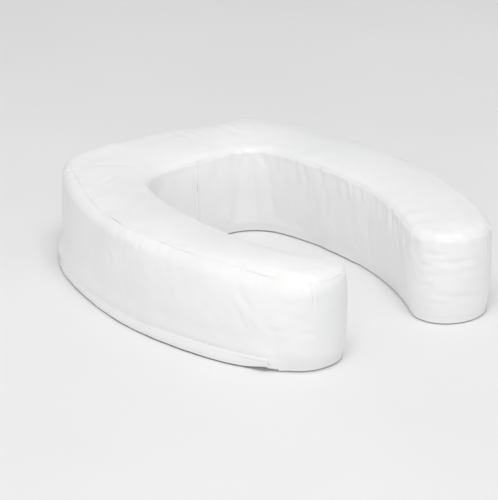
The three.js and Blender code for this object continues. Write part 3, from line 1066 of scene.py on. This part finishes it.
for name in BANDS:
    columns = BAND_COLUMNS[name]
    faces = grid_faces(len(BAND_ROWS), len(columns), flip=True)
    obj = thickened(mesh_object(name + "_vinyl", stuffed(band_surface(columns)), faces), VINYL)
    finished(obj, "base", "vinyl", name)
    presses(obj)

points, faces = top_surface()
obj = thickened(mesh_object("cover_top_panel_vinyl", stuffed(points), faces), VINYL)
finished(obj, "seat_top", "vinyl", "cover_top_panel")
presses(obj)

# ---- bottom panel, with a shallow channel across each arm for the folded straps ----
CHANNEL_TOP = 4.05
RIM = [(-3.3, 5.0), (-2.8, 4.7), (-2.5, 4.1), (-2.5, 3.3), (-2.7, 2.3), (-3.2, 1.2), (-4.0, 0.4)]
RIM += [(-5.2, 0.06), (-8.0, 0.0), (-12.0, 0.0), (-16.0, 0.0)]
CHANNEL_FROM_X = 85


def in_channel(points, top):
    """Points of an underside, lifted over the strap channels."""
    lift = top * in_channel_width(points[:, 1]) * (np.abs(points[:, 0]) > CHANNEL_FROM_X)
    lifted = points.copy()
    lifted[:, 2] = np.maximum(points[:, 2], lift)
    return lifted


def bottom_surface():
    """The bottom panel: its rim, then a filling with slight ripples."""
    columns = RING_COLUMNS
    layers = []
    tuck = PLAIN_TUCK - foot_tuck(columns)
    for offset, z in RIM:
        reach = offset + tuck * (1 - smooth(-offset, 5, 15))
        layers.append(beside(columns, reach, np.full(len(columns), z)))
    loop = layers[-1][:, :2]
    rows = []
    for y in CHANNEL_EDGES:
        for x in np.arange(100, 196, 1.3):
            rows += [(x, y), (-x, y)]
    inside, triangles = filled(loop, 5.0, np.array(rows))
    ripple = 0.12 * (1 + wander(inside[:, 0], inside[:, 1], (30.0, 30.0), 44.0))
    everything = np.vstack(layers + [np.column_stack([inside, ripple])])
    shift = len(columns) * (len(RIM) - 1)
    faces = grid_faces(len(RIM), len(columns), wrap=True, flip=False)
    faces += [tuple(i + shift for i in face[::-1]) for face in triangles]
    return in_channel(everything, CHANNEL_TOP), faces


points, faces = bottom_surface()
obj = thickened(mesh_object("cover_bottom_panel_cloth", points, faces), CLOTH)
finished(obj, "base", "base_cloth", "cover_bottom_panel")


# ---- foam ----
FOAM_INSET = -2.8
ZIP_ROOM = 4.2


def zip_groove(lengths):
    """The foam's side, cut back behind the zip."""
    run = plateau(lengths, ZIP_START - 10, ZIP_START - 6, ZIP_END + 6, ZIP_END + 10)
    return FOAM_INSET - ZIP_ROOM * run


foam_rows = [(-10, 1.7), (-5.5, 1.7), (-3.6, 2.6), (FOAM_INSET, 4.4), (FOAM_INSET, 5.0)]
foam_rows += [(zip_groove, 5.3), (zip_groove, 19.0)]
foam_rows += [(FOAM_INSET, z) for z in (19.4, 36, 53, 69)] + [(-3.6, 69.8), (-10, 69.9)]
obj = slab_mesh("foam_base_block", foam_rows, 4.0, under=lambda p: in_channel(p, 5.4))
finished(obj, "base", "firm_foam", "foam_base")

COMFORT_SKIN = 5.0
comfort_rows = [(-10, 70.4), (-5.8, 70.4), (-COMFORT_SKIN, 71.2), (-COMFORT_SKIN, 76)]
comfort_rows += [under_cover(share, COMFORT_SKIN) for share in (0.0, 0.2, 0.4, 0.6, 0.8, 1.0)]
comfort_rows.append(under_cover(1.0, COMFORT_SKIN, 8.0))
obj = slab_mesh("foam_comfort_block", comfort_rows, 4.0)
finished(obj, "base", "soft_foam", "foam_comfort_layer")
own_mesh(obj)


# ---- strips that follow the outline: flap, tapes ----
def strip_mesh(name, start, end, loop, step, wave=None):
    """A closed bar along the outline. Its section is a loop of offsets and heights."""
    columns = np.linspace(start, end, max(2, round((end - start) / step)))
    layers = []
    for offset, z in loop:
        reach, height = np.full(len(columns), float(offset)), np.full(len(columns), float(z))
        if wave is not None:
            reach, height = wave(columns, reach, height)
        layers.append(beside(columns, reach, height))
    points = np.stack(layers, 1).reshape(-1, 3)
    return facing_out(mesh_object(name, points, tube_faces(0, len(columns), len(loop))))


FLAP_START, FLAP_END = ZIP_START + 9.5, ZIP_END + 6.0
# The flap's section, from its sewn top edge down the inner side and up the outer side.
FLAP_LOOP = [(0.35, 12.9), (1.7, 12.5), (2.55, 11.2), (2.65, 6.4), (2.65, 1.8), (2.9, 1.2)]
FLAP_LOOP += [(3.4, 1.1), (3.85, 1.35), (4.0, 2.0), (4.0, 2.9), (3.82, 3.4), (4.0, 3.9)]
FLAP_LOOP += [(4.2, 6.4), (4.4, 9.3), (4.35, 10.4), (4.05, 11.1), (4.3, 11.8), (4.35, 12.8)]
FLAP_LOOP += [(4.0, 13.6), (3.1, 14.0)]
FLUSH_Z = 14.02
FLAP_LOOP += [(2.85, FLUSH_Z), (2.8, 14.04), (2.75, 14.06), (0.35, 14.1)]
FLAP_RISE = 5.8
FLAP_FOOT = 1.1
FLAP_SHRINK = 0.56
CORNER_PLACE, CORNER_REACH, CORNER_DRAW = 902, 22, 2.6


def flap_fold(columns, height):
    """The flap's thick lower part: tall at the front, shallow from the middle of the arm on."""
    return FLAP_FOOT + (height - FLAP_FOOT) * (1 - FLAP_SHRINK * smooth(columns, 600, 770))


def flap_wave(columns, reach, height):
    """Bends a row of the flap: raised at the front, full along the arm, drawn in at the corner."""
    hang = smooth(-height, -17, -4)
    belly = plateau(columns, FLAP_START + 20, FLAP_START + 60, 700, 800)
    height = np.where(reach > 3.0, flap_fold(columns, height), height)
    flush = (reach > 2.7) & (height == FLUSH_Z)
    height = np.where(flush, flap_fold(columns, height) + 0.3, height)
    front = 1 - smooth(columns, FLAP_START - 8, FLAP_START + 32)
    height = height + front * (1 - smooth(height, 1, 13.5)) * FLAP_RISE
    drawn = CORNER_DRAW * bump(columns - CORNER_PLACE, CORNER_REACH)
    reach = reach - 0.9 * front * smooth(reach, 2.5, 4) - drawn
    uneven = 0.5 * wander(columns, height, (24.0, 30.0), 8.8)
    reach = reach + (2.0 * belly + 0.2 + uneven) * hang
    height = height + 0.35 * wander(columns, np.zeros(len(columns)), (40.0, 1.0), 2.2) * hang
    return reach, height


obj = strip_mesh("zip_flap_vinyl", FLAP_START, FLAP_END, FLAP_LOOP, 2.0, flap_wave)
finished(obj, "base", "vinyl", "zip_flap")
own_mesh(obj)

TAPE_LOOP = [(-2.7, 0.0), (-2.0, 0.0), (-1.95, 0.5), (-2.0, 1.0), (-2.7, 1.0), (-2.75, 0.5)]
for name, low, high in (("zip_tape_lower", 5.4, 9.0), ("zip_tape_upper", 13.4, 18.5)):
    loop = [(offset, low + (high - low) * share) for offset, share in TAPE_LOOP]
    obj = strip_mesh(name + "_cloth", ZIP_START, ZIP_END, loop, 2.5)
    finished(obj, "base", "zip_tape", name)

# ---- coils: a fine spiral of plastic wire on each tape ----
ZIP_Z = 11.2
ZIP_INSET = 2.35
PITCH = 1.7
TURN_STEPS = 8
WIRE = 0.27
WIRE_SIDES = 5
COIL_WIDE, COIL_TALL = 0.8, 0.62


def coil_mesh(name, centre_z):
    start, end = ZIP_START + 3.6, ZIP_END - 3.6
    count = round((end - start) / PITCH * TURN_STEPS)
    along = np.linspace(start, end, count)
    turn = np.arange(count) * 2 * math.pi / TURN_STEPS
    normals = outline(along)[1]
    out = -ZIP_INSET + COIL_WIDE * np.cos(turn)
    spine = beside(along, out, centre_z + COIL_TALL * np.sin(turn))
    away = np.column_stack([normals * np.cos(turn)[:, None], np.sin(turn)])
    side = np.column_stack([normals[:, 1], -normals[:, 0], np.zeros(count)])
    rings = []
    for k in range(WIRE_SIDES):
        angle = 2 * math.pi * k / WIRE_SIDES
        rings.append(spine + WIRE * (math.cos(angle) * away + math.sin(angle) * side))
    points = np.stack(rings, 1).reshape(-1, 3)
    return mesh_object(name, points, tube_faces(0, count, WIRE_SIDES))


for name, z in (("zip_coil_lower", ZIP_Z - 1.2), ("zip_coil_upper", ZIP_Z + 1.2)):
    finished(coil_mesh(name + "_spiral", z), "base", "zip_plastic", name)


# ---- moulded zip parts: the frame's shapes with softened edges ----
def softened(name, body, width):
    """A copy of a frame node with bevelled edges, in its place."""
    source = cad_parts[name]
    obj = bpy.data.objects.new(name + "_moulded", source.data.copy())
    scene.collection.objects.link(obj)
    bm = bmesh.new()
    bm.from_mesh(obj.data)
    bmesh.ops.remove_doubles(bm, verts=bm.verts, dist=1e-6)
    bmesh.ops.dissolve_limit(bm, angle_limit=math.radians(2), verts=bm.verts, edges=bm.edges)
    bm.to_mesh(obj.data)
    bm.free()
    bevel = obj.modifiers.new("edge", "BEVEL")
    bevel.width = width * MM
    bevel.segments = 2
    bevel.limit_method = "ANGLE"
    bevel.angle_limit = math.radians(35)
    baked(obj)
    obj.data.polygons.foreach_set("use_smooth", [False] * len(obj.data.polygons))
    return finished(obj, body, "zip_plastic", name)


softened("zip_front_stop", "base", 0.3)
softened("zip_rear_stop", "base", 0.3)
softened("zip_slider", "zip_slider", 0.18)
softened("zip_pull", "zip_pull", 0.3)


# ---- thread: small capsules laid end to end ----
def stitches_mesh(name, starts, ends, lift, radius=0.2, sides=6):
    """One mesh of short stitches from each start to each end, on a surface whose normal is lift."""
    points, faces = [], []
    profile = ((0.0, 0.35), (0.18, 0.95), (0.5, 1.0), (0.82, 0.95), (1.0, 0.35))
    for a, b, up in zip(starts, ends, lift):
        axis = b - a
        up = up / np.linalg.norm(up)
        side = np.cross(axis, up)
        side = side / np.linalg.norm(side)
        first = len(points)
        for share, fat in profile:
            centre = a + axis * share + up * radius * 0.5 * math.sin(share * math.pi)
            for k in range(sides):
                angle = 2 * math.pi * k / sides
                around_axis = math.cos(angle) * up + math.sin(angle) * side
                points.append(centre + radius * fat * around_axis)
        faces += tube_faces(first, len(profile), sides, flip=True)
    return facing_out(mesh_object(name, np.array(points), faces))


STITCH_PITCH, STITCH_LENGTH = 3.3, 2.3
STITCH_OUT, STITCH_Z = 4.15, 11.2
places = np.arange(FLAP_START + 1.5, FLAP_END - 1.5 - STITCH_LENGTH, STITCH_PITCH)
reach, high = np.full(len(places), STITCH_OUT), flap_fold(places, STITCH_Z)
starts, ends = beside(places, reach, high), beside(places + STITCH_LENGTH, reach, high)
lift = np.column_stack([outline(places)[1], np.zeros(len(places))])
obj = stitches_mesh("zip_flap_stitches", starts, ends, lift)
finished(obj, "base", "vinyl", material="thread")
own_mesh(obj)

# ---- straps: each half is one length of webbing, folded once and stowed in its channel ----
STRAP_SEAM_INSET = 1.5
STRAP_FOLD = 35.0
WEB = 0.8
WEB_SECTION = [(0, 0.96), (4, 1), (8, 0.96), (12, 1), (16, 0.94), (18, 1), (18.6, 0.8), (19, 0.35)]
ROOT_MIDDLE = 3.3
FOLD_TURNS = (90, 70, 50, 36, 26, 18, 12, 6, 0, -6, -12, -18, -26, -36, -50, -70, -90)


def strap_path(seam_x, inward, tip_middle):
    """The middle line of a folded half strap in x and z with its normal, and its fold's x."""
    fold_x = seam_x + inward * STRAP_FOLD
    centre = (ROOT_MIDDLE + tip_middle) / 2
    radius = (ROOT_MIDDLE - tip_middle) / 2
    path = [(x, ROOT_MIDDLE, 0.0, 1.0) for x in np.linspace(seam_x, fold_x - inward * 0.6, 24)]
    for turn in FOLD_TURNS:
        angle = math.radians(turn)
        out, up = inward * math.cos(angle), math.sin(angle)
        path.append((fold_x - inward * 0.3 + out * radius, centre + up * radius, out, up))
    tips = np.linspace(fold_x - inward * 0.6, seam_x + inward, 24)
    path += [(x, tip_middle, 0.0, -1.0) for x in tips]
    return path, fold_x


def strap_half(arm, side, half, seam_x, inward, tip_middle):
    """One half strap: ribbed webbing folded once, made in place of its root and tip nodes."""
    path, fold_x = strap_path(seam_x, inward, tip_middle)
    places, ribs = np.array(WEB_SECTION).T
    across = np.concatenate([-places[:0:-1], places])
    thick = WEB / 2 * np.concatenate([ribs[:0:-1], ribs])
    rows = []
    for x, z, out, up in path:
        for sign in (1, -1):
            for y, t in zip(across[::sign], thick[::sign]):
                rows.append((side * (x + sign * t * out), y, z + sign * t * up))
    faces = tube_faces(0, len(path), 2 * len(across))
    obj = facing_out(mesh_object(f"strap_{arm}_{half}_webbing", np.array(rows), faces))
    root, tip = f"strap_{arm}_{half}_root", f"strap_{arm}_{half}_tip"
    finished(obj, None, "webbing", root)
    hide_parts(tip)
    x = side * fold_x * MM
    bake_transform(obj)


PATCH_START, PATCH_LENGTH, PATCH_HALF = 3.0, 24.0, 17.0
PAD_THICK = 0.32
TUFT_SIDES = 5
HOOK_LEAN, LOOP_LEAN = 0.16, 0.12
HOOK_PROFILE = ((-0.4, 1.0), (0.5, 0.75), (0.85, 1.1), (1.0, 0.5))
LOOP_PROFILE = ((-0.4, 1.0), (0.5, 0.75), (0.85, 1.25), (1.0, 0.5))


def patch(arm, side, half, seam_x, inward, low, high, hooks):
    """A sewn-on patch of hooks or loops: a thin pad whose working side is a field of tiny tufts."""
    near_x = side * (seam_x + inward * PATCH_START)
    far_x = side * (seam_x + inward * PATCH_START + inward * PATCH_LENGTH)
    back, face = (high, low) if half == "outer" else (low, high)
    toward = 1 if face > back else -1
    pad = back + toward * PAD_THICK
    xs = np.linspace(*sorted((near_x, far_x)), 33)
    ys = np.linspace(-PATCH_HALF, PATCH_HALF, 45)
    rows, columns, count = len(xs), len(ys), len(xs) * len(ys)
    points = [(x, y, z) for z in (back, pad) for x in xs for y in ys]
    quads = grid_faces(rows, columns)
    faces = quads + [tuple(i + count for i in quad) for quad in quads]
    rim = [i * columns for i in range(rows)]
    rim += [(rows - 1) * columns + j for j in range(1, columns)]
    rim += [i * columns + columns - 1 for i in range(rows - 2, -1, -1)]
    rim += list(range(columns - 2, 0, -1))
    faces += [(a, b, b + count, a + count) for a, b in zip(rim, rim[1:] + rim[:1])]
    tall = abs(face - pad)
    wide = 0.22 if hooks else 0.3
    rng = np.random.RandomState(7)
    for i, x in enumerate(xs[2:-2:2]):
        for y in ys[2:-2:2]:
            start = len(points)
            lean = (HOOK_LEAN * (-1) ** i, 0.0) if hooks else rng.uniform(-LOOP_LEAN, LOOP_LEAN, 2)
            for share, fat in HOOK_PROFILE if hooks else LOOP_PROFILE:
                for k in range(TUFT_SIDES):
                    angle = 2 * math.pi * k / TUFT_SIDES
                    tuft_x = x + lean[0] * share + wide * fat * math.cos(angle)
                    tuft_y = y + lean[1] * share + wide * fat * math.sin(angle)
                    points.append((tuft_x, tuft_y, pad + toward * tall * share))
            faces += tube_faces(start, len(LOOP_PROFILE), TUFT_SIDES)
    node = f"strap_{arm}_{half}_" + ("hook_patch" if hooks else "loop_patch")
    obj = facing_out(mesh_object(node + "_pile", np.array(points), faces, smooth_faces=False))
    finished(obj, f"strap_{arm}_{half}_tip", "hook_tape" if hooks else "loop_tape", node)


BOX_NEAR, BOX_FAR, BOX_HALF = 1.2, 9.0, 15.0
BOX_PITCH = 2.9


def strap_stitches(arm, side, half, seam_x, inward, z, up):
    """The box of stitches that holds a half strap to the panel at its sewn end."""
    near, far = seam_x + inward * BOX_NEAR, seam_x + inward * BOX_FAR
    corners = [(near, -BOX_HALF), (far, -BOX_HALF), (far, BOX_HALF), (near, BOX_HALF)]
    corners += [(near, -BOX_HALF), (far, BOX_HALF)]
    starts, ends = [], []
    for (ax, ay), (bx, by) in zip(corners, corners[1:]):
        count = max(2, round(math.hypot(bx - ax, by - ay) / BOX_PITCH))
        for k in range(count):
            for share, places in (((k + 0.12) / count, starts), ((k + 0.88) / count, ends)):
                places.append((side * (ax + (bx - ax) * share), ay + (by - ay) * share, z))
    lift = [np.array([0.0, 0.0, up])] * len(starts)
    name = f"strap_{arm}_{half}_stitches"
    obj = stitches_mesh(name, np.array(starts), np.array(ends), lift, radius=0.14)
    finished(obj, f"strap_{arm}_{half}_root", "webbing", material="thread")


OUTER_X = WIDTH / 2 - STRAP_SEAM_INSET
INNER_X = WIDTH / 2 - ARM_WIDTH + STRAP_SEAM_INSET
for arm, side in (("left", -1), ("right", 1)):
    strap_half(arm, side, "outer", OUTER_X, -1, 1.6)
    strap_half(arm, side, "inner", INNER_X, 1, 0.8)
    patch(arm, side, "outer", OUTER_X, -1, 0.4, 1.15, True)
    patch(arm, side, "inner", INNER_X, 1, 1.25, 2.3, False)
    for half, seam_x, inward in (("outer", OUTER_X, -1), ("inner", INNER_X, 1)):
        strap_stitches(arm, side, half, seam_x, inward, ROOT_MIDDLE - WEB / 2, -1)

# ---- floor and light ----
floor_mesh = bpy.data.meshes.new("floor")
floor_mesh.from_pydata([(-12, -12, 0), (12, -12, 0), (12, 12, 0), (-12, 12, 0)], [], [(0, 1, 2, 3)])
floor_mesh.materials.append(floor_material())
floor = bpy.data.objects.new("floor", floor_mesh)
scene.collection.objects.link(floor)
floor.location.z = -0.0004

world = bpy.data.worlds.new("studio")
scene.world = world
world.use_nodes = True
world.node_tree.nodes["Background"].inputs["Color"].default_value = (1, 1, 1, 1)
world.node_tree.nodes["Background"].inputs["Strength"].default_value = 0.60


def area_light(name, place, target, size, power):
    data = bpy.data.lights.new(name, "AREA")
    data.shape = "SQUARE"
    data.size = size
    data.energy = power
    lamp = bpy.data.objects.new(name, data)
    scene.collection.objects.link(lamp)
    lamp.location = place
    lamp.rotation_euler = (Vector(target) - Vector(place)).to_track_quat("-Z", "Y").to_euler()


area_light("key", (-0.5, -0.8, 2.5), (0, 0, 0.05), 1.3, 25.5)
area_light("front", (-2.2, -2.1, 1.0), (0, 0, 0.05), 1.8, 14)
scene.view_settings.view_transform = "Standard"
